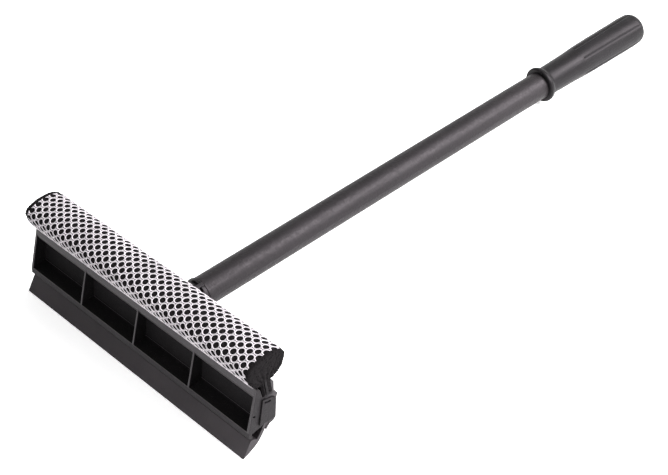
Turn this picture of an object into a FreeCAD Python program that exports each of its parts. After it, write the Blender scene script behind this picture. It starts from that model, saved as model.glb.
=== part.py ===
import FreeCAD, Part
import Sketcher
import math
import os

from FreeCAD import Placement, Rotation, Vector

# Window-cleaning squeegee: a clamped two-piece head with a netted sponge and a rubber
# blade, on a plastic tube handle with a moulded grip.
#
# Frame: +X along the head, +Y from the head towards the grip, +Z up.  The squeegee lies as
# it rests on a bench, on the blade's wiping edge and the end of the grip.  The origin is
# the middle of the bounding box at bench level.  Every outline below is written in the
# cross-section (y, z) about the point where the handle axis starts inside the head.

DIMENSIONS = {
    # head, along X
    "head_width": 254.0, "end_wall": 2.2, "rib_thickness": 1.6, "pocket_count": 4,
    # the blade's edge touches the bench, this far in front of and below the handle axis
    "edge_forward": 18.7, "edge_drop": 26.1,
    # face of the front moulding: top edge, foot of the openings, rail
    "face_top_y": 1.3, "face_top_z": 21.9, "face_foot_y": -11.0, "face_foot_z": -8.2,
    "rail_y": -11.9, "rail_z": -12.4, "rail_lip_z": -14.4,
    # slot that grips the root of the sponge
    "slot_front_y": 4.4, "slot_back_y": 12.6, "slot_floor_z": 13.4, "floor_thickness": 2.0,
    # rear moulding
    "jaw_top_z": 23.0, "jaw_back_y": 15.1, "shoulder_y": 16.4, "shoulder_z": 9.2,
    # rubber blade
    "blade_inset": 0.3, "bead_radius": 1.6, "bead_y": 4.1, "bead_z": -9.55,
    "blade_clearance": 0.25,
    # sponge and net
    "sponge_overhang": 1.2, "net_thickness": 0.8, "strip_thickness": 1.6,
    # handle, along its own axis
    "handle_tilt": 1.42, "neck_radius": 10.3, "spigot_radius": 8.5, "spigot_end": 96.0,
    "tube_radius": 11.4, "tube_end_radius": 11.0, "tube_bore": 8.6, "tube_start": 51.0,
    "tube_end": 502.0,
    "ring_radius": 12.2, "ring_width": 3.2, "key_angle": 24.0, "key_width": 2.6,
    "flange_face": 398.7, "flange_radius": 14.6, "flange_thickness": 4.6,
    "grip_neck_radius": 12.2, "grip_radius": 13.5, "grip_end": 517.5,
    # flutes: deepest where they start, and rising by their slope towards the domed end
    "flute_start": 443.0, "flute_end_depth": 0.3, "flute_slope": 1.0, "flute_radius": 3.5,
    "flute_count": 6, "flute_turn": -7.0,
    # screws
    "screw_radius": 1.5, "screw_head_radius": 2.8, "screw_z": 3.0, "boss_radius": 2.9,
    "inner_screw_x": 63.5, "outer_screw_x": 113.0, "lock_screw_at": 72.0,
    # end plugs
    "plug_thickness": 1.2, "plug_tenon": 6.0,
}

doc = FreeCAD.newDocument("squeegee")
sheet = doc.addObject("Spreadsheet::Sheet", "Dims")
for row, (alias, value) in enumerate(DIMENSIONS.items(), start=1):
    sheet.set(f"A{row}", alias)
    sheet.set(f"B{row}", str(value))
    sheet.setAlias(f"B{row}", alias)
doc.recompute()

parts = []


def dim(alias):
    """Value of one driving dimension."""
    return float(sheet.get(alias))


HALF = dim("head_width") / 2
ORIGIN_BACK = (dim("grip_end") * math.cos(math.radians(dim("handle_tilt")))
               - dim("edge_forward")) / 2


def new_body(label):
    """A part of the head: its sketches are in the cross-section about the handle's start."""
    body = doc.addObject("PartDesign::Body", label)
    body.Label = label
    body.Placement = Placement(Vector(0, -ORIGIN_BACK, dim("edge_drop")), Rotation())
    body.setExpression("Placement.Base.z", "Dims.edge_drop")
    parts.append(body)
    return body


def new_handle_body(label):
    """A part of the handle: its own Y axis is the handle's axis, which dips to the bench."""
    body = new_body(label)
    body.Placement = Placement(body.Placement.Base,
                               Rotation(Vector(1, 0, 0), -dim("handle_tilt")))
    body.setExpression("Placement.Rotation.Angle", "-Dims.handle_tilt")
    return body


def add_feature(label, shape, tilted=False):
    """A part whose shape is made directly, placed like the bodies of the head or handle."""
    feature = doc.addObject("Part::Feature", label)
    feature.Label = label
    feature.Shape = shape
    angle = -dim("handle_tilt") if tilted else 0.0
    seat = Placement(Vector(0, -ORIGIN_BACK, dim("edge_drop")), Rotation(Vector(1, 0, 0), angle))
    feature.Placement = seat.multiply(shape.Placement)
    parts.append(feature)
    return feature


def origin_item(body, role):
    """One of the body's own origin planes or axes."""
    return next(item for item in body.Origin.OriginFeatures if item.Role == role)


def evaluate(value):
    """Number behind a coordinate: a number, or sums and differences of Dims cells."""
    if not isinstance(value, str):
        return float(value)
    total = 0.0
    for term in value.replace(" ", "").replace("-", "+-").split("+"):
        if term:
            sign = -1.0 if term.startswith("-") else 1.0
            term = term.lstrip("-")
            total += sign * (dim(term[5:]) if term.startswith("Dims.") else float(term))
    return total


def new_sketch(body, name, role, offset):
    """Empty sketch on one of the body's origin planes, moved by offset."""
    sketch = body.newObject("Sketcher::SketchObject", name)
    sketch.AttachmentSupport = [(origin_item(body, role), "")]
    sketch.MapMode = "FlatFace"
    sketch.AttachmentOffset = offset
    return sketch


def hold(sketch, kind, geometry, point, value):
    """Fix one coordinate of a sketch point, by a number or an expression."""
    constraint = Sketcher.Constraint(kind, -1, 1, geometry, point, evaluate(value))
    index = sketch.addConstraint(constraint)
    if isinstance(value, str):
        sketch.setExpression(f"Constraints[{index}]", value)


def outline(body, name, points, role="YZ_Plane", offset=Placement()):
    """Closed sketch through points.  A point marked "through" bends its edge to an arc."""
    sketch = new_sketch(body, name, role, offset)
    corners = [point for point in points if point[0] != "through"]
    place = [Vector(evaluate(a), evaluate(b), 0) for a, b in corners]
    bends = {}
    for i, point in enumerate(points):
        if point[0] == "through":
            before = sum(1 for other in points[:i] if other[0] != "through") - 1
            bends[before] = Vector(point[1], point[2], 0)
    for i, start in enumerate(place):
        stop = place[(i + 1) % len(place)]
        sketch.addGeometry(Part.Arc(start, bends[i], stop) if i in bends
                           else Part.LineSegment(start, stop), False)
    ends = []
    for i, start in enumerate(place):
        forward = sketch.getPoint(i, 1).distanceToPoint(start) < 1e-6
        ends.append((1, 2) if forward else (2, 1))
    for i, (a, b) in enumerate(corners):
        following = (i + 1) % len(corners)
        sketch.addConstraint(Sketcher.Constraint(
            "Coincident", i, ends[i][1], following, ends[following][0]))
        hold(sketch, "DistanceX", i, ends[i][0], a)
        hold(sketch, "DistanceY", i, ends[i][0], b)
    return sketch


def circles(body, name, centres, radius, offset, role="XZ_Plane"):
    """Sketch of equal circles, their radius held by an expression."""
    sketch = new_sketch(body, name, role, offset)
    for i, (x, y) in enumerate(centres):
        circle = Part.Circle(Vector(evaluate(x), evaluate(y), 0), Vector(0, 0, 1),
                             evaluate(radius))
        sketch.addGeometry(circle, False)
        hold(sketch, "DistanceX", i, 3, x)
        hold(sketch, "DistanceY", i, 3, y)
        index = sketch.addConstraint(Sketcher.Constraint("Radius", i, evaluate(radius)))
        sketch.setExpression(f"Constraints[{index}]", radius)
    return sketch


def pad(body, name, sketch, length, midplane=False):
    """Pad of a sketch; the length is an expression or a number."""
    feature = body.newObject("PartDesign::Pad", name)
    feature.Profile = sketch
    feature.Midplane = midplane
    feature.Length = evaluate(length)
    if isinstance(length, str):
        feature.setExpression("Length", length)
    doc.recompute()
    return feature


def pocket(body, name, sketch, length, midplane=False, along_normal=False):
    """Pocket of a sketch, against the sketch's normal unless along_normal is set."""
    before = body.Shape.Volume
    feature = body.newObject("PartDesign::Pocket", name)
    feature.Profile = sketch
    feature.Midplane = midplane
    feature.Reversed = along_normal
    feature.Length = evaluate(length)
    if isinstance(length, str):
        feature.setExpression("Length", length)
    doc.recompute()
    if body.Shape.Volume > before - 1e-3:
        raise RuntimeError(f"{name} in {body.Label} cuts nothing")
    return feature


def station(y, tilt=0.0):
    """Offset of a sketch on the XZ plane to y along the head's or the tilted handle's axis."""
    angle = math.radians(tilt)
    return Placement(Vector(0, -y * math.sin(angle), -y * math.cos(angle)),
                     Rotation(Vector(1, 0, 0), -tilt))


def revolve(body, name, points):
    """Turned part about the handle's axis from (radius, distance along the axis) points."""
    sketch = outline(body, name + "_profile", points, role="XY_Plane")
    feature = body.newObject("PartDesign::Revolution", name)
    feature.Profile = sketch
    feature.ReferenceAxis = (sketch, ["V_Axis"])
    feature.Angle = 360
    doc.recompute()
    return feature


def screw_places():
    """(x, z) of the four clamping screws."""
    return [(side + "Dims." + cell, "Dims.screw_z")
            for cell in ("inner_screw_x", "outer_screw_x") for side in ("-", "")]


def key_corners(clearance, inner, outer):
    """Corners (x, z) of the neck's key, a bar across the gap of the collar ring."""
    angle = math.radians(dim("key_angle"))
    half = dim("key_width") / 2 + clearance
    return [(r * math.sin(angle) + side * half * math.cos(angle),
             r * math.cos(angle) - side * half * math.sin(angle))
            for r, side in ((inner, -1), (outer, -1), (outer, 1), (inner, 1))]


def make_front_frame():
    """Front moulding: rolled top lip, open bays between ribs, shelf and front rail."""
    body = new_body("front_frame")
    section = outline(body, "front_section", [
        ("Dims.face_top_y", "Dims.face_top_z"),
        ("Dims.face_foot_y", "Dims.face_foot_z"),
        ("Dims.rail_y", "Dims.rail_z"),
        (-9.9, "Dims.rail_lip_z"), (-8.7, "Dims.rail_lip_z + 1"), (-9.0, -10.2),
        (1.0, -8.8), (2.4, -7.2), (6.4, "Dims.slot_floor_z - Dims.floor_thickness"),
        ("Dims.slot_back_y - 0.2", "Dims.slot_floor_z - Dims.floor_thickness"),
        ("Dims.slot_back_y - 0.2", "Dims.slot_floor_z"),
        ("Dims.slot_front_y", "Dims.slot_floor_z"),
        ("Dims.slot_front_y - 0.7", "Dims.face_top_z - 1.6"),
        ("Dims.face_top_y + 0.9", "Dims.face_top_z + 0.4")])
    pad(body, "front_solid", section, "Dims.head_width", midplane=True)
    count = int(dim("pocket_count"))
    pitch = (2 * HALF - 2 * dim("end_wall") + dim("rib_thickness")) / count
    bay = pitch - dim("rib_thickness")
    opening = outline(body, "bay_section", [
        (-0.46, 17.6), ("through", -0.35, 14.9), (0.9, 12.6), ("through", 2.2, 11.3),
        (4.3, 10.3), (0.6, -5.4), ("through", -0.2, -6.5), (-1.2, -6.8), (-9.9, -7.9),
        (-14.0, -7.0), (-14.0, 17.6)],
        offset=Placement(Vector(0, 0, -HALF + dim("end_wall")), Rotation()))
    bays = pocket(body, "bay", opening, bay, along_normal=True)
    row = body.newObject("PartDesign::LinearPattern", "bay_row")
    row.Originals = [bays]
    row.Direction = (origin_item(body, "X_Axis"), [""])
    row.Length = pitch * (count - 1)
    row.Occurrences = count
    body.Tip = row
    doc.recompute()
    bosses = circles(body, "boss_circles", screw_places(), "Dims.boss_radius", station(9.6))
    pad(body, "screw_bosses", bosses, 5.4)
    pilots = circles(body, "pilot_circles", screw_places(), "Dims.screw_radius", station(9.6))
    pocket(body, "pilot_holes", pilots, 4.4, along_normal=True)
    pins = circles(body, "pin_hole_circle", [(-4.6, 2.2)], "Dims.rib_thickness - 0.6",
                   Placement(Vector(0, 0, HALF), Rotation()), role="YZ_Plane")
    pocket(body, "locating_hole", pins, 1.4)


def make_rear_frame():
    """Rear moulding: jaw, hollow beam with the blade's channel, neck and spigot."""
    body = new_body("rear_frame")
    section = outline(body, "rear_section", [
        ("Dims.slot_back_y", "Dims.jaw_top_z - 0.4"),
        ("Dims.slot_back_y + 1.1", "Dims.jaw_top_z"),
        ("Dims.jaw_back_y", "Dims.jaw_top_z - 2.6"), ("Dims.jaw_back_y - 1", 13.6),
        ("Dims.shoulder_y", "Dims.shoulder_z"), (14.9, 6.2), (11.8, -8.6),
        (9.6, -10.6), (5.8, -11.25), (2.85, -14.2), (-0.55, -10.8), (2.4, -7.85), (2.6, -7.2),
        (6.6, "Dims.slot_floor_z - Dims.floor_thickness - 0.1"),
        ("Dims.slot_back_y", "Dims.slot_floor_z - Dims.floor_thickness - 0.1")])
    pad(body, "rear_solid", section, "Dims.head_width", midplane=True)
    hollow = outline(body, "hollow_section", [(8.4, 9.2), (13.0, 7.3), (10.9, -2.8), (5.8, -2.8)])
    pocket(body, "hollow", hollow, "Dims.head_width + 2", midplane=True)
    channel = circles(body, "bead_circle", [("Dims.bead_y", "Dims.bead_z")],
                      "Dims.bead_radius + Dims.blade_clearance", Placement(), role="YZ_Plane")
    pocket(body, "bead_channel", channel, "Dims.head_width + 2", midplane=True)
    throat = outline(body, "throat_section", [
        (2.72, -9.59), (4.06, -10.93), (0.53, -14.46), (-0.81, -13.12)])
    pocket(body, "blade_throat", throat, "Dims.head_width + 2", midplane=True)
    boss_front, boss_back = 9.8, 13.4
    sleeves = circles(body, "sleeve_circles", screw_places(), "Dims.boss_radius + 0.9",
                      station(boss_back))
    pad(body, "screw_sleeves", sleeves, boss_back - boss_front)
    clearances = circles(body, "clearance_circles", screw_places(), "Dims.boss_radius + 0.2",
                         station(3.0))
    pocket(body, "boss_clearance", clearances, boss_front - 3.0)
    bores = circles(body, "bore_circles", screw_places(), "Dims.screw_radius + 0.1", station(3.0))
    pocket(body, "screw_bores", bores, 12.0)
    heads = circles(body, "head_circles", screw_places(), "Dims.screw_head_radius + 0.2",
                    station(17.0))
    pocket(body, "head_recesses", heads, 17.0 - 12.2, along_normal=True)
    tilt = dim("handle_tilt")
    neck_end = dim("tube_start") - 0.3
    neck = circles(body, "neck_circle", [(0.0, 0.0)], "Dims.neck_radius", station(neck_end, tilt))
    pad(body, "neck", neck, neck_end - 10.0)
    flare = circles(body, "flare_circle", [(0.0, 0.0)], "Dims.neck_radius + 1.4", station(24.0, tilt))
    pad(body, "neck_root", flare, 24.0 - 12.5)
    spigot = circles(body, "spigot_circle", [(0.0, 0.0)], "Dims.spigot_radius",
                     station(dim("spigot_end"), tilt))
    pad(body, "spigot", spigot, dim("spigot_end") - neck_end + 1.0)
    key = outline(body, "key_outline",
                  key_corners(0.0, dim("spigot_radius"), dim("ring_radius") + 0.3),
                  role="XZ_Plane", offset=station(neck_end, tilt))
    pad(body, "ring_key", key, "Dims.ring_width + 3.4")
    wings = outline(body, "gusset_outline", [(-44.0, 13.2), (44.0, 13.2), (11.0, 42.0), (-11.0, 42.0)],
                    role="XY_Plane", offset=Placement(Vector(0, 0, -1.2), Rotation()))
    pad(body, "gussets", wings, 2.4)
    lock = circles(body, "lock_circle", [(0.0, "Dims.lock_screw_at - 0.2")],
                   "Dims.screw_radius + 0.3",
                   Placement(Vector(0, 0, -14.0), Rotation()), role="XY_Plane")
    pocket(body, "lock_bore", lock, 12.0, along_normal=True)


def make_rubber_blade():
    """Rubber extrusion: round bead in the channel, stem, and wedge down to the wiping edge."""
    body = new_body("rubber_blade")
    length = "Dims.head_width - Dims.blade_inset - Dims.blade_inset"
    section = outline(body, "blade_section", [
        ("-Dims.edge_forward", "-Dims.edge_drop"), (-10.6, -15.5), (-8.8, -15.2), (-5.4, -17.2),
        (-0.28, -12.09), (0.14, -12.52), (3.39, -9.27), (4.38, -10.26), (1.13, -13.51),
        (1.56, -13.93), (-4.3, -19.8), ("through", -8.6, -22.3),
        (-13.6, -24.4)])
    pad(body, "blade_strip", section, length, midplane=True)
    bead = circles(body, "bead_section", [("Dims.bead_y", "Dims.bead_z")], "Dims.bead_radius",
                   Placement(), role="YZ_Plane")
    pad(body, "bead", bead, length, midplane=True)


def make_end_plug(label, side):
    """Moulded plug that closes one end of the hollow beam, with a slot to prise it out."""
    body = new_body(label)
    outer = side * (HALF + dim("plug_thickness"))
    cover = outline(body, label + "_cover", [
        (3.6, 11.6), (10.4, 9.9), (13.4, 8.0), (11.2, -5.6), (9.8, -8.1), (-2.4, -6.6)],
        offset=Placement(Vector(0, 0, min(outer, side * HALF)), Rotation()))
    pad(body, label + "_plate", cover, "Dims.plug_thickness")
    inner = side * (HALF - dim("plug_tenon"))
    tenon = outline(body, label + "_tenon_outline",
                    [(8.7, 8.7), (12.6, 7.0), (10.6, -2.5), (6.3, -2.5)],
                    offset=Placement(Vector(0, 0, min(inner, side * HALF)), Rotation()))
    pad(body, label + "_tenon", tenon, "Dims.plug_tenon")
    slot = outline(body, label + "_slot_outline", [(4.6, 9.9), (9.6, 8.6), (9.3, 7.1), (4.2, 8.4)],
                   offset=Placement(Vector(0, 0, outer), Rotation()))
    pocket(body, label + "_slot", slot, 2.0, along_normal=side < 0)


CAP_CORNERS = [  # outer outline of the netted sponge: each arc from corner to corner
    ((4.8, 22.9), (2.4, 22.8), (0.2, 23.1)), ((0.2, 23.1), (-3.3, 28.4), (-4.6, 35.4)),
    ((-4.6, 35.4), (-4.2, 39.6), (-1.2, 42.2)), ((-1.2, 42.2), (6.0, 44.5), (13.4, 44.9)),
    ((13.4, 44.9), (19.9, 44.1), (25.2, 41.4)), ((25.2, 41.4), (27.5, 38.4), (26.7, 34.4)),
    ((26.7, 34.4), (23.6, 28.7), (19.0, 25.2)), ((19.0, 25.2), (16.3, 24.2), (12.2, 24.1))]


def cap_face(inset):
    """Face of the sponge cap's cross-section, drawn in by inset."""
    arcs = [Part.Arc(*[Vector(0, y, z) for y, z in arc]).toShape() for arc in CAP_CORNERS]
    closing = Part.LineSegment(Vector(0, *CAP_CORNERS[-1][2]), Vector(0, *CAP_CORNERS[0][0]))
    wire = Part.Wire(Part.__sortEdges__(arcs + [closing.toShape()]))
    face = Part.Face(wire)
    return face.makeOffset2D(-inset) if inset else face


def along_head(face, length):
    """Solid of a cross-section face, centred on the head."""
    solid = face.extrude(Vector(length, 0, 0))
    solid.translate(Vector(-length / 2, 0, 0))
    return solid


def make_sponge():
    """Foam cap with its root in the slot, the strip in its fold, and the net over it."""
    length = dim("head_width") + 2 * dim("sponge_overhang")
    root_front, root_back = dim("slot_front_y") + 0.1, dim("slot_back_y") - 0.1
    root_low = dim("slot_floor_z") + 0.1
    root = Part.makeBox(length, root_back - root_front - 0.4, 12.0,
                        Vector(-length / 2, root_front + 0.2, root_low))
    strip_low, strip_high = root_low + 0.6, root_low + 13.0
    middle = (root_front + root_back) / 2
    strip = Part.makeBox(length - 1.0, dim("strip_thickness"), strip_high - strip_low,
                         Vector(-(length - 1.0) / 2, middle - dim("strip_thickness") / 2, strip_low))
    fold = Part.makeBox(length + 2, dim("strip_thickness"), strip_high - root_low + 1,
                        Vector(-length / 2 - 1, middle - dim("strip_thickness") / 2, root_low - 1))
    foam = along_head(cap_face(dim("net_thickness")), length).fuse(root).removeSplitter().cut(fold)
    add_feature("sponge_foam", foam)
    add_feature("sponge_strip", strip)
    ring = along_head(cap_face(0.0), length - 1.0).cut(
        along_head(cap_face(dim("net_thickness")), length))
    gap = Part.makeBox(length, root_back - root_front, 4.0,
                       Vector(-length / 2, root_front, 21.5))
    add_feature("net_cover", ring.cut(gap))


def make_handle():
    """Tube with its collar ring, the lock screw below it, and the grip pushed over its end."""
    ring = new_handle_body("neck_ring")
    start, back = dim("tube_start") - dim("ring_width") - 0.3, dim("tube_start") - 0.3
    revolve(ring, "collar", [
        ("Dims.neck_radius", start), ("Dims.ring_radius - 0.5", start),
        ("Dims.ring_radius", start + 0.6), ("Dims.ring_radius", back - 0.4),
        ("Dims.ring_radius - 0.4", back), ("Dims.neck_radius", back)])
    gap = outline(ring, "gap_outline", key_corners(0.2, dim("spigot_radius"), dim("ring_radius") + 1),
                  role="XZ_Plane", offset=station(start - 0.5))
    pocket(ring, "ring_gap", gap, "Dims.ring_width + 1")

    tube = new_handle_body("handle_tube")
    revolve(tube, "tube", [
        ("Dims.tube_bore", "Dims.tube_start"), ("Dims.tube_radius - 0.4", "Dims.tube_start"),
        ("Dims.tube_radius", "Dims.tube_start + 0.4"), ("Dims.tube_end_radius", "Dims.flange_face"),
        ("Dims.tube_end_radius", "Dims.tube_end"), ("Dims.tube_bore", "Dims.tube_end")])
    lock = circles(tube, "tube_lock_circle", [(0.0, "Dims.lock_screw_at")], "Dims.screw_radius",
                   Placement(Vector(0, 0, -14.0), Rotation()), role="XY_Plane")
    pocket(tube, "tube_lock_hole", lock, 8.0, along_normal=True)

    grip = new_handle_body("grip")
    face, end = dim("flange_face"), dim("grip_end")
    flange = face + dim("flange_thickness")
    revolve(grip, "grip_body", [
        ("Dims.tube_end_radius", face), ("Dims.flange_radius - 1.5", face),
        ("through", dim("flange_radius") - 0.2, face + 0.7), ("Dims.flange_radius", face + 2.0),
        ("through", dim("flange_radius") - 0.4, flange - 0.8), ("Dims.flange_radius - 1.6", flange),
        ("through", 12.3, flange + 1.0), (11.7, flange + 4.0),
        ("Dims.grip_neck_radius", flange + 30.0), ("Dims.grip_radius - 0.5", flange + 48.0),
        ("Dims.grip_radius", end - 14.0), ("Dims.grip_radius - 0.2", end - 7.0),
        ("through", 11.2, end - 2.0), (6.5, end), (0.0, end),
        (0.0, "Dims.tube_end + 1"), ("Dims.tube_end_radius", "Dims.tube_end + 1")])
    reach = dim("grip_radius") + dim("flute_radius") - dim("flute_end_depth")
    turn = math.radians(dim("flute_turn"))
    groove = circles(grip, "flute_circle", [(reach * math.sin(turn), reach * math.cos(turn))],
                     "Dims.flute_radius",
                     Placement(Vector(0, 0, -end - 1.0), Rotation(Vector(1, 0, 0), dim("flute_slope"))))
    flute = pocket(grip, "flute", groove, end + 1.0 - dim("flute_start"), along_normal=True)
    ring_of_flutes = grip.newObject("PartDesign::PolarPattern", "flutes")
    ring_of_flutes.Originals = [flute]
    ring_of_flutes.Axis = (origin_item(grip, "Y_Axis"), [""])
    ring_of_flutes.Angle = 360
    ring_of_flutes.Occurrences = int(dim("flute_count"))
    grip.Tip = ring_of_flutes
    doc.recompute()


def screw(shank_length, head_height):
    """Pan-head screw along +Z with its head below, and a cross recess in the head."""
    head = Part.makeCylinder(dim("screw_head_radius"), head_height, Vector(0, 0, -head_height))
    solid = head.fuse(Part.makeCylinder(dim("screw_radius"), shank_length)).removeSplitter()
    for width, depth in ((0.8, 3.2), (3.2, 0.8)):
        solid = solid.cut(Part.makeBox(width, depth, 0.8,
                                       Vector(-width / 2, -depth / 2, -head_height)))
    return solid


def make_screws():
    """Four screws that clamp the mouldings together, and one that locks the tube."""
    screws = []
    for x, z in screw_places():
        one = screw(6.4, 1.4)
        one.rotate(Vector(), Vector(1, 0, 0), 90)
        one.translate(Vector(evaluate(x), 12.2, evaluate(z)))
        screws.append(one)
    add_feature("clamp_screws", Part.makeCompound(screws))
    lock = screw(8.0, 1.6)
    lock.translate(Vector(0, dim("lock_screw_at"), -dim("tube_radius") - 0.1))
    add_feature("lock_screw", lock, tilted=True)


make_front_frame()
make_rear_frame()
make_rubber_blade()
make_end_plug("end_plug_right", 1)
make_end_plug("end_plug_left", -1)
make_sponge()
make_handle()
make_screws()
doc.recompute()

for item in doc.Objects:
    if "Invalid" in item.State or "Error" in item.State:
        raise RuntimeError(f"{item.Label} failed: {item.State}")

os.makedirs("parts", exist_ok=True)
for part in parts:
    if part.Shape.isNull() or not part.Shape.isValid():
        raise RuntimeError(f"{part.Label} has no valid shape")
    part.Shape.exportStep(f"parts/{part.Label}.step")
    box = part.Shape.BoundBox
    print(f"{part.Label:16s} solids {len(part.Shape.Solids)} volume {part.Shape.Volume:10.1f} "
          f"x {box.XMin:.1f}..{box.XMax:.1f} y {box.YMin:.1f}..{box.YMax:.1f} "
          f"z {box.ZMin:.1f}..{box.ZMax:.1f}")
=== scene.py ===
import math
from bisect import bisect_right

import bmesh
import bpy
from mathutils import Euler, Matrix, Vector, noise


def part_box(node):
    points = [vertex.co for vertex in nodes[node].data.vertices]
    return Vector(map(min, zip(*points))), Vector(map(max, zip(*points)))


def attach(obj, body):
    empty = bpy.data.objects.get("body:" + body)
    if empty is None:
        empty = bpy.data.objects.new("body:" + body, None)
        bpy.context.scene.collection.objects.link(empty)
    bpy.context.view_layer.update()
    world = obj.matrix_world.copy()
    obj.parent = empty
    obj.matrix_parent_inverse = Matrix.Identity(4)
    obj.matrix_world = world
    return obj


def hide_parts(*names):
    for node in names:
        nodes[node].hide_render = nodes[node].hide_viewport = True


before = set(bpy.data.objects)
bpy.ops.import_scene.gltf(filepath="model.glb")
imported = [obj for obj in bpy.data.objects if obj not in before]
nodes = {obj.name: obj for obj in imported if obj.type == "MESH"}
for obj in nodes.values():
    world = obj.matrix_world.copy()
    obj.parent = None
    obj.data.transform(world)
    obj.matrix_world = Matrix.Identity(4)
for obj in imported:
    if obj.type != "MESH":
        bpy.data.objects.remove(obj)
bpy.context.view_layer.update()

# A window squeegee with a netted sponge, lying on a pale floor. The hard parts are the frame's own
# pieces with new materials. The foam and the net are built here: the foam from its solid in the
# frame, and the net flat, then wrapped round the outline of the frame's sponge.

MM = 0.001
scene = bpy.context.scene


# ---------------------------------------------------------------- node-material helpers

class Shader:
    """A material being built: short calls that add and link its nodes."""

    def __init__(self, name):
        self.material = bpy.data.materials.new(name)
        self.material.use_nodes = True
        self.tree = self.material.node_tree
        self.bsdf = self.tree.nodes["Principled BSDF"]
        self.coords = self.tree.nodes.new("ShaderNodeTexCoord").outputs["Object"]

    def feed(self, target, value):
        """Link an input to a socket, or set it to a plain value."""
        if isinstance(value, bpy.types.NodeSocket):
            self.tree.links.new(value, target)
        else:
            target.default_value = value

    def node(self, kind, inputs, **settings):
        made = self.tree.nodes.new(kind)
        for key, value in settings.items():
            setattr(made, key, value)
        for key, value in inputs.items():
            self.feed(made.inputs[key], value)
        return made

    def stretched(self, scale):
        """Object coordinates scaled per axis, for grain that runs one way."""
        return self.node("ShaderNodeMapping", {"Vector": self.coords, "Scale": scale}).outputs[0]

    def noise(self, scale, detail, rough, coords=None):
        """Cloudy noise; the scale is in features per metre."""
        made = self.node("ShaderNodeTexNoise", {
            "Vector": coords or self.coords, "Scale": scale, "Detail": detail,
            "Roughness": rough})
        return made.outputs["Fac"]

    def voronoi(self, scale, feature="F1"):
        """Cellular pattern; the scale is in cells per metre."""
        made = self.node("ShaderNodeTexVoronoi", {"Vector": self.coords, "Scale": scale},
                         feature=feature)
        return made.outputs["Distance"]

    def remap(self, value, low, high, to_low, to_high):
        made = self.node("ShaderNodeMapRange", {
            "Value": value, "From Min": low, "From Max": high, "To Min": to_low,
            "To Max": to_high})
        return made.outputs[0]

    def ramp(self, value, stops):
        """Colour ramp; stops are (position, (r, g, b))."""
        made = self.node("ShaderNodeValToRGB", {"Fac": value})
        for element, (position, colour) in zip(made.color_ramp.elements, stops, strict=True):
            element.position = position
            element.color = (*colour, 1.0)
        return made.outputs["Color"]

    def tint(self, factor, colour, over):
        """A colour socket, covered by an (r, g, b) colour as far as the factor says."""
        made = self.node("ShaderNodeMix", {0: factor, 6: colour, 7: (*over, 1.0)},
                         data_type="RGBA")
        return made.outputs[2]

    def calc(self, operation, first, second):
        return self.node("ShaderNodeMath", {0: first, 1: second}, operation=operation).outputs[0]

    def plus(self, first, second, share):
        """The first value plus a share of the second."""
        return self.calc("ADD", first, self.calc("MULTIPLY", second, share))

    def blend(self, first, second, share):
        """The first value and the second, which has the share given."""
        return self.plus(self.calc("MULTIPLY", first, 1.0 - share), second, share)

    def bump(self, height, distance, strength, under=None):
        inputs = {"Height": height, "Distance": distance, "Strength": strength}
        if under is not None:
            inputs["Normal"] = under
        return self.node("ShaderNodeBump", inputs).outputs["Normal"]

    def rounded(self, radius):
        """Normal of slightly rounded edges, as a moulding has."""
        return self.node("ShaderNodeBevel", {"Radius": radius}, samples=6).outputs["Normal"]

    def finish(self, colour, roughness, normal, constants):
        """Feed the surface; constants are values for the inputs that they name."""
        inputs = {"Base Color": colour, "Roughness": roughness, "Normal": normal, **constants}
        for name, value in inputs.items():
            self.feed(self.bsdf.inputs[name], value)
        return self.material


# ---------------------------------------------------------------- materials

WARM = (1.0, 0.90, 0.97, 1.0)   # the black pigment's faint warm cast in its highlights


def moulded_plastic(name, dark, light, rough, grain, specular, edge_radius, dust):
    """Injection-moulded plastic: spark-eroded grain, cloudy sheen, rounded edges, dust."""
    s = Shader(name)
    cloud = s.noise(22.0, 5.0, 0.6)
    fine = s.noise(900.0, 2.0, 0.7)
    colour = s.ramp(cloud, [(0.30, dark), (0.72, light)])
    specks = s.remap(s.noise(2600.0, 1.0, 0.5), 0.66, 0.74, 0.0, dust)
    colour = s.tint(specks, colour, (0.10, 0.095, 0.097))
    roughness = s.remap(s.plus(cloud, fine, 0.35), 0.35, 1.05, rough - 0.10, rough + 0.10)
    normal = s.bump(s.voronoi(grain, "SMOOTH_F1"), 0.12 * MM, 0.35, s.rounded(edge_radius))
    normal = s.bump(fine, 0.22 * MM, 0.7, normal)
    return s.finish(colour, roughness, normal, {
        "Specular IOR Level": specular, "Specular Tint": WARM})


def tube_plastic():
    """Extruded tube: drawn lines along its length, soft mottling, and a satin surface."""
    s = Shader("tube_black")
    lines = s.noise(1.0, 3.0, 0.6, s.stretched((900.0, 4.0, 900.0)))
    mottle = s.noise(520.0, 3.0, 0.70)
    cloud = s.noise(16.0, 3.0, 0.5, s.stretched((1.0, 0.35, 1.0)))
    colour = s.ramp(s.blend(cloud, mottle, 0.4), [
        (0.36, (0.0030, 0.0028, 0.0030)), (0.62, (0.0110, 0.0098, 0.0105))])
    scratches = s.noise(60.0, 6.0, 0.75, s.stretched((3.0, 0.5, 3.0)))
    scuff = s.remap(scratches, 0.66, 0.78, 0.0, 0.30)
    colour = s.tint(scuff, colour, (0.028, 0.027, 0.0275))
    roughness = s.remap(s.plus(mottle, lines, 0.5), 0.45, 0.95, 0.40, 0.64)
    normal = s.bump(mottle, 0.42 * MM, 0.8)
    normal = s.bump(lines, 0.05 * MM, 0.5, normal)
    return s.finish(colour, roughness, normal, {
        "Specular IOR Level": 0.26, "Specular Tint": WARM})


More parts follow.
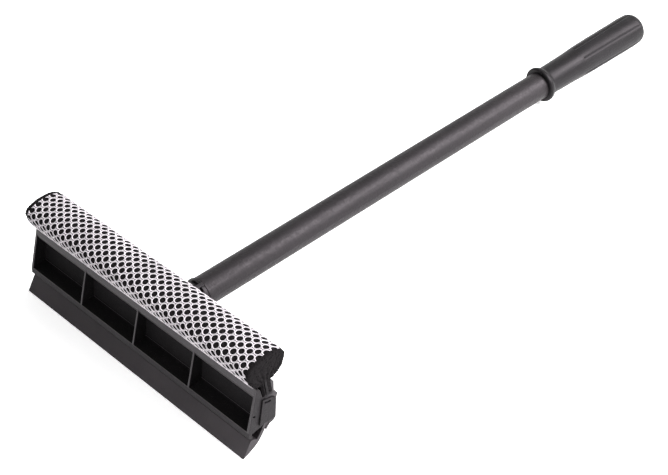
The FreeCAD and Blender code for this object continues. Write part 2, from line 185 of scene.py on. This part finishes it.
def blade_rubber():
    """Natural-rubber blade: matt, with faint bloom and wiping streaks towards its edge."""
    s = Shader("blade_rubber")
    bloom = s.noise(30.0, 6.0, 0.65)
    streaks = s.noise(1.0, 3.0, 0.6, s.stretched((420.0, 30.0, 30.0)))
    mixed = s.blend(bloom, streaks, 0.25)
    colour = s.ramp(mixed, [(0.30, (0.0105, 0.0092, 0.0102)), (0.70, (0.0230, 0.0198, 0.0218))])
    fine = s.noise(1500.0, 3.0, 0.7)
    roughness = s.remap(mixed, 0.3, 0.7, 0.44, 0.58)
    normal = s.bump(fine, 0.07 * MM, 0.5, s.rounded(0.25 * MM))
    normal = s.bump(streaks, 0.04 * MM, 0.4, normal)
    return s.finish(colour, roughness, normal, {
        "Specular IOR Level": 0.4, "Specular Tint": WARM})


def foam():
    """Open-cell foam: pores of mixed size with painted shade inside them, and almost no gloss."""
    s = Shader("foam_grey")
    large = s.remap(s.voronoi(520.0), 0.05, 0.55, 0.15, 1.0)
    small = s.remap(s.voronoi(1300.0), 0.05, 0.5, 0.45, 1.0)
    pores = s.calc("MULTIPLY", large, small)
    cloud = s.noise(45.0, 4.0, 0.6)
    # Darker towards the middle of each pore: painted shade inside the pores.
    colour = s.ramp(pores, [(0.10, (0.0014, 0.0012, 0.0014)), (0.85, (0.0092, 0.0080, 0.0087))])
    colour = s.tint(s.remap(cloud, 0.35, 0.7, 0.0, 0.35), colour, (0.0048, 0.0043, 0.0047))
    roughness = s.remap(cloud, 0.3, 0.7, 0.90, 1.0)
    normal = s.bump(pores, 0.5 * MM, 0.9)
    return s.finish(colour, roughness, normal, {
        "Specular IOR Level": 0.04, "Sheen Weight": 0.010, "Sheen Roughness": 0.5})


def net_yarn():
    """Knitted net: bulky white yarn with filaments, grey with dirt in places, and with painted
    shade in the seams between its cords."""
    s = Shader("net_white")
    filaments = s.noise(1.0, 3.0, 0.7, s.stretched((1500.0, 2600.0, 2600.0)))
    loops = s.voronoi(1500.0)
    grime = s.noise(38.0, 5.0, 0.6)
    colour = s.ramp(grime, [(0.28, (0.60, 0.555, 0.59)), (0.62, (0.77, 0.72, 0.76))])
    colour = s.tint(s.remap(loops, 0.35, 0.75, 0.0, 0.25), colour, (0.42, 0.38, 0.41))
    # Darker along the seams between the cords: painted shade in the grooves there.
    seam_shade = s.node("ShaderNodeAttribute", {}, attribute_name="seam_shade").outputs["Fac"]
    colour = s.tint(s.remap(seam_shade, 0.22, 0.62, 0.0, 0.95), colour, (0.045, 0.039, 0.044))
    roughness = s.remap(filaments, 0.3, 0.7, 0.55, 0.8)
    normal = s.bump(loops, 0.35 * MM, 0.6)
    normal = s.bump(filaments, 0.12 * MM, 0.6, normal)
    return s.finish(colour, roughness, normal, {
        "Specular IOR Level": 0.35, "Sheen Weight": 0.25, "Sheen Roughness": 0.4})


def screw_steel():
    """Zinc-plated steel: fine turned texture, dull plating and a little tarnish."""
    s = Shader("screw_steel")
    turned = s.noise(3500.0, 2.0, 0.6)
    tarnish = s.noise(500.0, 5.0, 0.7)
    colour = s.ramp(tarnish, [(0.3, (0.28, 0.27, 0.25)), (0.7, (0.50, 0.49, 0.47))])
    roughness = s.remap(tarnish, 0.3, 0.7, 0.28, 0.48)
    normal = s.bump(turned, 0.04 * MM, 0.6, s.rounded(0.2 * MM))
    return s.finish(colour, roughness, normal, {"Metallic": 1.0})


def floor_paint():
    """Pale, faintly glowing sweep under the object, with a barely visible tooth."""
    s = Shader("floor_pale")
    tooth = s.noise(120.0, 3.0, 0.6)
    cloud = s.noise(2.0, 3.0, 0.5)
    colour = s.ramp(cloud, [(0.2, (0.90, 0.90, 0.90)), (0.8, (0.93, 0.93, 0.93))])
    roughness = s.remap(tooth, 0.3, 0.7, 0.55, 0.65)
    return s.finish(colour, roughness, s.bump(tooth, 0.1 * MM, 0.3), {
        "Specular IOR Level": 0.2, "Emission Color": (1.0, 1.0, 1.0, 1.0),
        "Emission Strength": 0.55})


# The black mouldings: their darkest and lightest pigment, mean roughness, grain in cells per
# metre, specular level, radius of their edges, and how pale their specks of dust are.
MOULDINGS = {
    "moulded_black": dict(dark=(0.0055, 0.0052, 0.0056), light=(0.011, 0.0102, 0.011), rough=0.42,
                          grain=1500.0, specular=0.45, edge_radius=0.55 * MM, dust=0.35),
    "grip_black": dict(dark=(0.0050, 0.0048, 0.0051), light=(0.0095, 0.0090, 0.0096), rough=0.48,
                       grain=1100.0, specular=0.15, edge_radius=0.4 * MM, dust=0.30),
    "ring_black": dict(dark=(0.0025, 0.0025, 0.0026), light=(0.0045, 0.0044, 0.0046), rough=0.45,
                       grain=2200.0, specular=0.2, edge_radius=0.25 * MM, dust=0.10),
    "plug_black": dict(dark=(0.0035, 0.0033, 0.0036), light=(0.0070, 0.0064, 0.0070), rough=0.50,
                       grain=1500.0, specular=0.18, edge_radius=0.45 * MM, dust=0.30),
    # The rail's copy is rougher and less glossy than moulded_black, and its darker pigment is
    # painted shade on the rail's face and the end walls.
    "moulded_rail_shaded": dict(dark=(0.0035, 0.0033, 0.0036), light=(0.0075, 0.0069, 0.0075), rough=0.55,
                         grain=1500.0, specular=0.22, edge_radius=0.7 * MM, dust=0.35),
    "strip_plastic": dict(dark=(0.0030, 0.0028, 0.0030), light=(0.0060, 0.0055, 0.0060), rough=0.60,
                          grain=1800.0, specular=0.15, edge_radius=0.2 * MM, dust=0.20),
    # The bays' copy is rougher and less glossy than moulded_black, and its darker pigment is
    # painted shade inside the bays.
    "moulded_matt_shaded": dict(dark=(0.0030, 0.0029, 0.0031), light=(0.0060, 0.0056, 0.0060), rough=0.75,
                         grain=1300.0, specular=0.08, edge_radius=0.3 * MM, dust=0.25),
}

MATERIALS = {name: moulded_plastic(name, **look) for name, look in MOULDINGS.items()}
MATERIALS["tube_black"] = tube_plastic()
MATERIALS["blade_rubber"] = blade_rubber()
MATERIALS["foam_grey"] = foam()
MATERIALS["net_white"] = net_yarn()
MATERIALS["screw_steel"] = screw_steel()

FINISHES = {
    "front_frame": "moulded_black", "rear_frame": "moulded_black",
    "end_plug_right": "plug_black", "end_plug_left": "plug_black",
    "rubber_blade": "blade_rubber", "sponge_strip": "strip_plastic",
    "neck_ring": "ring_black", "handle_tube": "tube_black", "grip": "grip_black",
    "clamp_screws": "screw_steel", "lock_screw": "screw_steel",
    "sponge_foam": "foam_grey", "net_cover": "net_white",
}
CRISP_ANGLE = 32.0      # degrees; sharper edges of the frame's pieces stay crisp


def paint(obj, material):
    obj.data.materials.clear()
    obj.data.materials.append(material)


def smooth(mesh):
    mesh.polygons.foreach_set("use_smooth", [True] * len(mesh.polygons))


for name, finish in FINISHES.items():
    paint(nodes[name], MATERIALS[finish])
    smooth(nodes[name].data)
    nodes[name].data.set_sharp_from_angle(angle=math.radians(CRISP_ANGLE))


def dull_and_shade_front_faces():
    """Inside its bays the front moulding gets a rougher, less glossy copy of its plastic whose
    darker pigment is painted shade in the bays; its rail and end walls are a little duller than its
    ribs and lip, and darker as painted shade too."""
    mesh = nodes["front_frame"].data
    mesh.materials.append(MATERIALS["moulded_matt_shaded"])
    mesh.materials.append(MATERIALS["moulded_rail_shaded"])
    bay_shade_slot, rail_shade_slot = 1, 2
    low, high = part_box("front_frame")
    behind_ribs = low.y + 10 * MM
    under_lip = high.z - 10 * MM
    end_walls = high.x - 1 * MM
    floor_low, floor_high = low.z + 4 * MM, low.z + 12 * MM
    rail_top = low.z + 6.5 * MM
    for polygon in mesh.polygons:
        corners = [mesh.vertices[i].co for i in polygon.vertices]
        facing = polygon.normal
        sideways = abs(facing.x) > 0.9
        bay_back = facing.y < -0.8 and all(
            c.y > behind_ribs and c.z < under_lip for c in corners)
        bay_side = sideways and all(abs(c.x) < end_walls for c in corners)
        bay_floor = facing.z > 0.7 and all(floor_low < c.z < floor_high for c in corners)
        rail_face = facing.y < -0.9 and all(c.z < rail_top for c in corners)
        # Bay faces take the darker bay copy, painted shade in the bays; the rail face and end walls
        # take the rail copy, painted shade on them.
        if bay_back or bay_side or bay_floor:
            polygon.material_index = bay_shade_slot
        elif rail_face or sideways:
            polygon.material_index = rail_shade_slot


dull_and_shade_front_faces()


# ---------------------------------------------------------------- the sponge's section

OUTLINE_RAYS = 720
RAY_START = 60 * MM         # outside the sponge, from its centre
CENTRE_HEIGHT = 0.52        # of the centre that the rays aim at, in the cover's height
NORMAL_SPAN = 4             # outline points on each side that a normal is taken over

cap_low, cap_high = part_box("net_cover")
CAP_CENTRE = Vector((0.0, (cap_low.y + cap_high.y) / 2,
                     cap_low.z + CENTRE_HEIGHT * (cap_high.z - cap_low.z)))


def cap_outline():
    """Outer outline of the netted sponge at mid-length, front root to rear root, and its
    length along the way at each point."""
    found = []
    for i in range(OUTLINE_RAYS):
        turn = -math.pi / 2 - 2 * math.pi * i / OUTLINE_RAYS
        outward = Vector((0.0, math.cos(turn), math.sin(turn)))
        hit, place, _, _ = nodes["net_cover"].ray_cast(CAP_CENTRE + outward * RAY_START, -outward)
        if hit and (place - CAP_CENTRE).dot(outward) > 0:
            found.append(place)
    along = [0.0]
    for before, after in zip(found, found[1:]):
        along.append(along[-1] + (after - before).length)
    return found, along


OUTLINE, ALONG = cap_outline()
ARC_LENGTH = ALONG[-1]


def on_cap(distance, inset):
    """The point of the section at a distance along the outline, set in by inset, and the
    outward normal there."""
    distance = min(max(distance, 0.0), ARC_LENGTH - 0.001 * MM)
    high = bisect_right(ALONG, distance)
    low = high - 1
    part = (distance - ALONG[low]) / (ALONG[high] - ALONG[low])
    place = OUTLINE[low].lerp(OUTLINE[high], part)
    first = OUTLINE[max(low - NORMAL_SPAN, 0)]
    last = OUTLINE[min(high + NORMAL_SPAN, len(OUTLINE) - 1)]
    run = (last - first).normalized()
    outward = Vector((0.0, -run.z, run.y))
    if outward.dot(place - CAP_CENTRE) < 0:
        outward = -outward
    return place - outward * inset, outward


# ---------------------------------------------------------------- net

PITCH_X = 9.3 * MM          # between holes of one row, along the head
ROW_STEP = 3.26 * MM        # between rows, round the sponge; alternate rows are staggered
HOLE_X = 2.72 * MM          # half a hole's size along the head
HOLE_V = 2.32 * MM          # half a hole's size round the sponge
CORD_RISE = 0.20 * MM       # of the cord round a hole above the seam between two cords
HOLE_SINK = 0.3             # of the hole's edge below the middle surface, as a share of that rise
NET_THICKNESS = 0.50 * MM
NET_INSET = 0.42 * MM       # of the net's middle, from the sponge's outer outline
END_MARGIN = 1.9 * MM       # between the net's edge and the end of the frame's net cover
HALF_NET = (cap_high.x - cap_low.x) / 2 - END_MARGIN
BARE_END = 2.6 * MM         # of foam that stays uncovered at the left end, beyond that margin
NET_LEFT = BARE_END - HALF_NET
SAME_POINT = 0.05 * MM      # grid that tells which border points of neighbouring cells are one
STRETCH = 0.42 * MM         # uneven stretch of the net over the sponge
YARN_JITTER = 0.16 * MM
noise.seed_set(5)           # without a fixed seed, noise vectors change from run to run


def place_in_scene(name, mesh):
    made = bpy.data.objects.new(name, mesh)
    scene.collection.objects.link(made)
    return made


def apply_modifiers(obj):
    """Replace the mesh by what its modifiers make of it."""
    depsgraph = bpy.context.evaluated_depsgraph_get()
    finished = bpy.data.meshes.new_from_object(obj.evaluated_get(depsgraph))
    obj.modifiers.clear()
    obj.data = finished


def row_shift(row):
    """Stagger of a row of holes, along the head."""
    return PITCH_X / 2 if row % 2 else 0.0


def cell_rings():
    """Twelve points round a cell's border, its cord and its hole, about the cell's centre."""
    step = Vector((PITCH_X / 2, ROW_STEP))      # to the nearest cell of the next row
    tip = (step.length_squared / 2) / step.x
    shoulder = (step.length_squared / 2 - step.y * ROW_STEP) / step.x
    corners = [Vector(place) for place in (
        (tip, 0.0), (shoulder, ROW_STEP), (-shoulder, ROW_STEP),
        (-tip, 0.0), (-shoulder, -ROW_STEP), (shoulder, -ROW_STEP))]
    border = []
    for corner, following in zip(corners, corners[1:] + corners[:1]):
        border += [corner, (corner + following) / 2]
    hole = []
    for point in border:
        angle = math.atan2(point.y / HOLE_V, point.x / HOLE_X)
        hole.append(Vector((HOLE_X * math.cos(angle), HOLE_V * math.sin(angle))))
    cord = [outer.lerp(inner, 0.5) for outer, inner in zip(border, hole)]
    return border, cord, hole


def net_wander(x, v):
    """Shift of the net at a flat place: its slow uneven stretch, and a little yarn jitter."""
    slow = noise.noise_vector(Vector((x * 42.0, v * 42.0, 3.1)))
    quick = noise.noise_vector(Vector((x * 310.0, v * 310.0, 8.7)))
    return Vector((slow.x, slow.y)) * STRETCH + Vector((quick.x, quick.y)) * YARN_JITTER


def lay_cells(bm):
    """Cells of the flat net, row by row: x along the head, y round the sponge."""
    # This layer is 1 on the borders between cords, where the net's material paints shade in the
    # grooves.
    seam_shade = bm.verts.layers.float.new("seam_shade")
    border, cord, hole = cell_rings()
    shared = {}

    def border_vertex(point):
        key = (round(point.x / SAME_POINT), round(point.y / SAME_POINT))
        if key not in shared:
            shared[key] = bm.verts.new((point.x, point.y, -CORD_RISE))
            shared[key][seam_shade] = 1.0
        return shared[key]

    rows = math.ceil(ARC_LENGTH / ROW_STEP) + 2
    columns = math.ceil(HALF_NET / PITCH_X) + 1
    for row in range(-1, rows):
        for column in range(-columns, columns + 1):
            centre = Vector((column * PITCH_X + row_shift(row), row * ROW_STEP))
            rings = [[border_vertex(centre + point) for point in border]]
            for ring, height in ((cord, CORD_RISE), (hole, -HOLE_SINK * CORD_RISE)):
                rings.append([bm.verts.new((centre.x + p.x, centre.y + p.y, height))
                              for p in ring])
            for outer, inner in zip(rings, rings[1:]):
                for i in range(len(outer)):
                    following = (i + 1) % len(outer)
                    bm.faces.new((outer[i], outer[following], inner[following], inner[i]))


def cut_to_size(bm):
    """Trim the flat net along its four edges."""
    cuts = [((0.0, 0.0, 0.0), (0.0, -1.0, 0.0)), ((0.0, ARC_LENGTH, 0.0), (0.0, 1.0, 0.0)),
            ((NET_LEFT, 0.0, 0.0), (-1.0, 0.0, 0.0)), ((HALF_NET, 0.0, 0.0), (1.0, 0.0, 0.0))]
    for place, outward in cuts:
        geometry = bm.verts[:] + bm.edges[:] + bm.faces[:]
        bmesh.ops.bisect_plane(bm, geom=geometry, dist=0.001 * MM, plane_co=place,
                               plane_no=outward, clear_outer=True)
    loose = [v for v in bm.verts if not v.link_faces]
    bmesh.ops.delete(bm, geom=loose, context="VERTS")


def wrap_on_cap(bm):
    """Bend the flat net round the sponge. It wanders less towards its root edges."""
    for vertex in bm.verts:
        x, v = vertex.co.x, vertex.co.y
        moved = net_wander(x, v)
        freedom = min(v, ARC_LENGTH - v) / (4 * MM)
        v = v + moved.y * min(max(freedom, 0.0), 1.0)
        place, outward = on_cap(v, NET_INSET)
        lift = noise.noise(Vector((x * 500.0, v * 500.0, 1.7))) * 0.06 * MM + vertex.co.z
        vertex.co = Vector((x + moved.x, place.y, place.z)) + outward * lift
    bmesh.ops.recalc_face_normals(bm, faces=bm.faces[:])


def make_net():
    """Staggered net of oval holes, cut to the sponge's arc and wrapped round it."""
    bm = bmesh.new()
    lay_cells(bm)
    cut_to_size(bm)
    wrap_on_cap(bm)
    mesh = bpy.data.meshes.new("net_wrap")
    bm.to_mesh(mesh)
    bm.free()
    net = place_in_scene("net_wrap", mesh)
    thick = net.modifiers.new("thickness", "SOLIDIFY")
    thick.thickness = NET_THICKNESS
    thick.offset = 0.0
    round_yarn = net.modifiers.new("yarn", "SUBSURF")
    round_yarn.levels = round_yarn.render_levels = 1
    apply_modifiers(net)
    smooth(net.data)
    return net


# ---------------------------------------------------------------- foam

FOAM_VOXEL = 0.85 * MM
PORE_DEPTH = 0.16 * MM      # of the pores under the net
END_PORE_DEPTH = 0.45 * MM  # of the torn pores on the cut ends
END_SET_BACK = 0.35 * MM    # of the cut ends, which leaves room for their pores
END_CREASE = 0.9 * MM       # depth of the creases on the cut ends
PILLOW_RISE = 0.42 * MM     # of the foam in the middle of a hole
CORD_PRESS = 0.10 * MM      # of the foam under the whole net
PILLOW_SPREAD = 1.25        # a pillow's size, in sizes of a hole
UNDER_NET = 1.6 * MM        # depth below the sponge's outline that the net still shapes
OUTLINE_SAMPLE = list(zip(ALONG, OUTLINE))[::3]


def nearest_hole(x, v):
    """0 at the middle of the net's nearest hole, and 1 from a pillow's edge outwards."""
    best = 1.0
    row_near = round(v / ROW_STEP)
    for row in (row_near - 1, row_near, row_near + 1):
        column = round((x - row_shift(row)) / PITCH_X)
        dx, dv = x - (column * PITCH_X + row_shift(row)), v - row * ROW_STEP
        best = min(best, math.hypot(dx / HOLE_X, dv / HOLE_V) / PILLOW_SPREAD)
    return best


def root_crease(place):
    """Depth, 0 to 1, of the creases that fan out of the gripped root on the foam's ends."""
    low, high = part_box("sponge_strip")
    rise = max(place.z - high.z, 0.0)
    across = (place.y - (low.y + high.y) / 2) / (1.0 + rise / (5.0 * MM))
    wave = 0.5 + 0.5 * math.cos(2 * math.pi * across / (2.3 * MM) + math.pi)
    fade = min(max(1.0 - rise / (11.0 * MM), 0.0), 1.0)
    return wave ** 3 * fade


def pillow(place):
    """How far the foam swells out under the net at a place near the sponge's outline."""
    section = Vector((0.0, place.y, place.z))
    along, nearest = min(OUTLINE_SAMPLE, key=lambda item: (item[1] - section).length_squared)
    if (nearest - section).length > UNDER_NET or not NET_LEFT < place.x < HALF_NET:
        return 0.0
    wander = net_wander(place.x, along)
    away = nearest_hole(place.x - wander.x, along - wander.y)
    return PILLOW_RISE * (1.0 - away * away) - CORD_PRESS


def make_foam():
    """Open-cell foam: pillows out through the net's holes, and rough torn cells at its ends."""
    made = nodes["sponge_foam"].copy()
    made.data = made.data.copy()
    made.name = "foam_body"
    for key in list(made.keys()):
        del made[key]
    scene.collection.objects.link(made)
    remesh = made.modifiers.new("cells", "REMESH")
    remesh.mode = "VOXEL"
    remesh.voxel_size = FOAM_VOXEL
    apply_modifiers(made)
    mesh = made.data
    low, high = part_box("sponge_foam")
    normals = [v.normal.copy() for v in mesh.vertices]
    for vertex, normal in zip(mesh.vertices, normals):
        place = vertex.co.copy()
        pore = noise.noise(place * 900.0) * 0.6 + noise.noise(place * 420.0) * 0.4
        from_end = min(place.x - low.x, high.x - place.x)
        amount = pore * PORE_DEPTH
        if from_end < 0.5 * MM and abs(normal.x) > 0.5:
            amount = pore * END_PORE_DEPTH - END_SET_BACK - END_CREASE * root_crease(place)
        elif place.z > cap_low.z + 1.2 * MM:
            amount += pillow(place)
        vertex.co = place + normal * amount
    smooth(mesh)
    return made


foam_piece = make_foam()
paint(foam_piece, MATERIALS["foam_grey"])
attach(foam_piece, "head")
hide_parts("sponge_foam")

net_piece = make_net()
paint(net_piece, MATERIALS["net_white"])
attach(net_piece, "head")
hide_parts("net_cover")


# ---------------------------------------------------------------- floor, light and camera

FLOOR_NEAR = -30.0          # metres, in front of the object
FLOOR_HALF_WIDTH = 4.0
NEAR_WIDENING = 8.0         # the near edge is this many times wider
SWEEP_START = 1.6           # behind the object, where the floor begins to curve up
SWEEP_RADIUS = 1.2
SWEEP_STEPS = 16
SWEEP_TOP = 3.5
FLOOR_TURN = 50.0           # degrees about Z, to face the camera
FLOOR_DROP = 0.4 * MM       # under the object's lowest point


def make_floor():
    """Flat bench top, wider towards the viewer, that curves up into a wall behind the object."""
    bm = bmesh.new()
    profile = [(FLOOR_NEAR, 0.0), (SWEEP_START, 0.0)]
    for i in range(1, SWEEP_STEPS + 1):
        angle = math.pi / 2 * i / SWEEP_STEPS
        profile.append((SWEEP_START + SWEEP_RADIUS * math.sin(angle),
                        SWEEP_RADIUS - SWEEP_RADIUS * math.cos(angle)))
    profile.append((SWEEP_START + SWEEP_RADIUS, SWEEP_TOP))
    sides = []
    for x in (-FLOOR_HALF_WIDTH, FLOOR_HALF_WIDTH):
        sides.append([bm.verts.new((x * (NEAR_WIDENING if y < 0 else 1.0), y, z))
                      for y, z in profile])
    left, right = sides
    for i in range(len(profile) - 1):
        bm.faces.new((left[i], right[i], right[i + 1], left[i + 1]))
    mesh = bpy.data.meshes.new("floor")
    bm.to_mesh(mesh)
    bm.free()
    smooth(mesh)
    made = place_in_scene("floor", mesh)
    made.rotation_euler.z = math.radians(FLOOR_TURN)
    made.location.z = -FLOOR_DROP
    return made


floor = make_floor()
paint(floor, floor_paint())


def softbox(name, direction, distance, size, power, target=(0.0, 0.0, 0.03)):
    """Rectangular area light that looks at the target from a direction."""
    light = bpy.data.lights.new(name, "AREA")
    light.shape = "RECTANGLE"
    light.size, light.size_y = size
    light.energy = power
    made = place_in_scene(name, light)
    away = Vector(direction).normalized()
    made.location = Vector(target) + away * distance
    made.rotation_euler = away.to_track_quat("Z", "Y").to_euler()
    made.visible_camera = False


softbox("front_box", (0.02, -0.78, 0.30), 0.36, (0.20, 0.14), 0.85, (0.10, -0.257, 0.01))
softbox("handle_box", (0.62, 0.50, 0.60), 1.5, (1.3, 0.60), 82.0)
softbox("top_box", (-0.25, 0.0, 1.0), 1.6, (0.9, 0.9), 3.0)

world = bpy.data.worlds.new("studio")
scene.world = world
world.use_nodes = True
background = world.node_tree.nodes["Background"]
background.inputs["Color"].default_value = (1.0, 1.0, 1.0, 1.0)
background.inputs["Strength"].default_value = 0.14

camera_data = bpy.data.cameras.new("camera")
camera_data.sensor_width = 36.0
camera_data.lens = 89.24
camera_data.clip_start = 0.05
camera_data.clip_end = 30.0
camera = place_in_scene("camera", camera_data)
camera.location = (0.77594, -0.65511, 0.77275)
camera.rotation_euler = Euler([math.radians(a) for a in (51.072, 6.302, 48.192)], "XYZ")
scene.camera = camera
scene.view_settings.view_transform = "Standard"
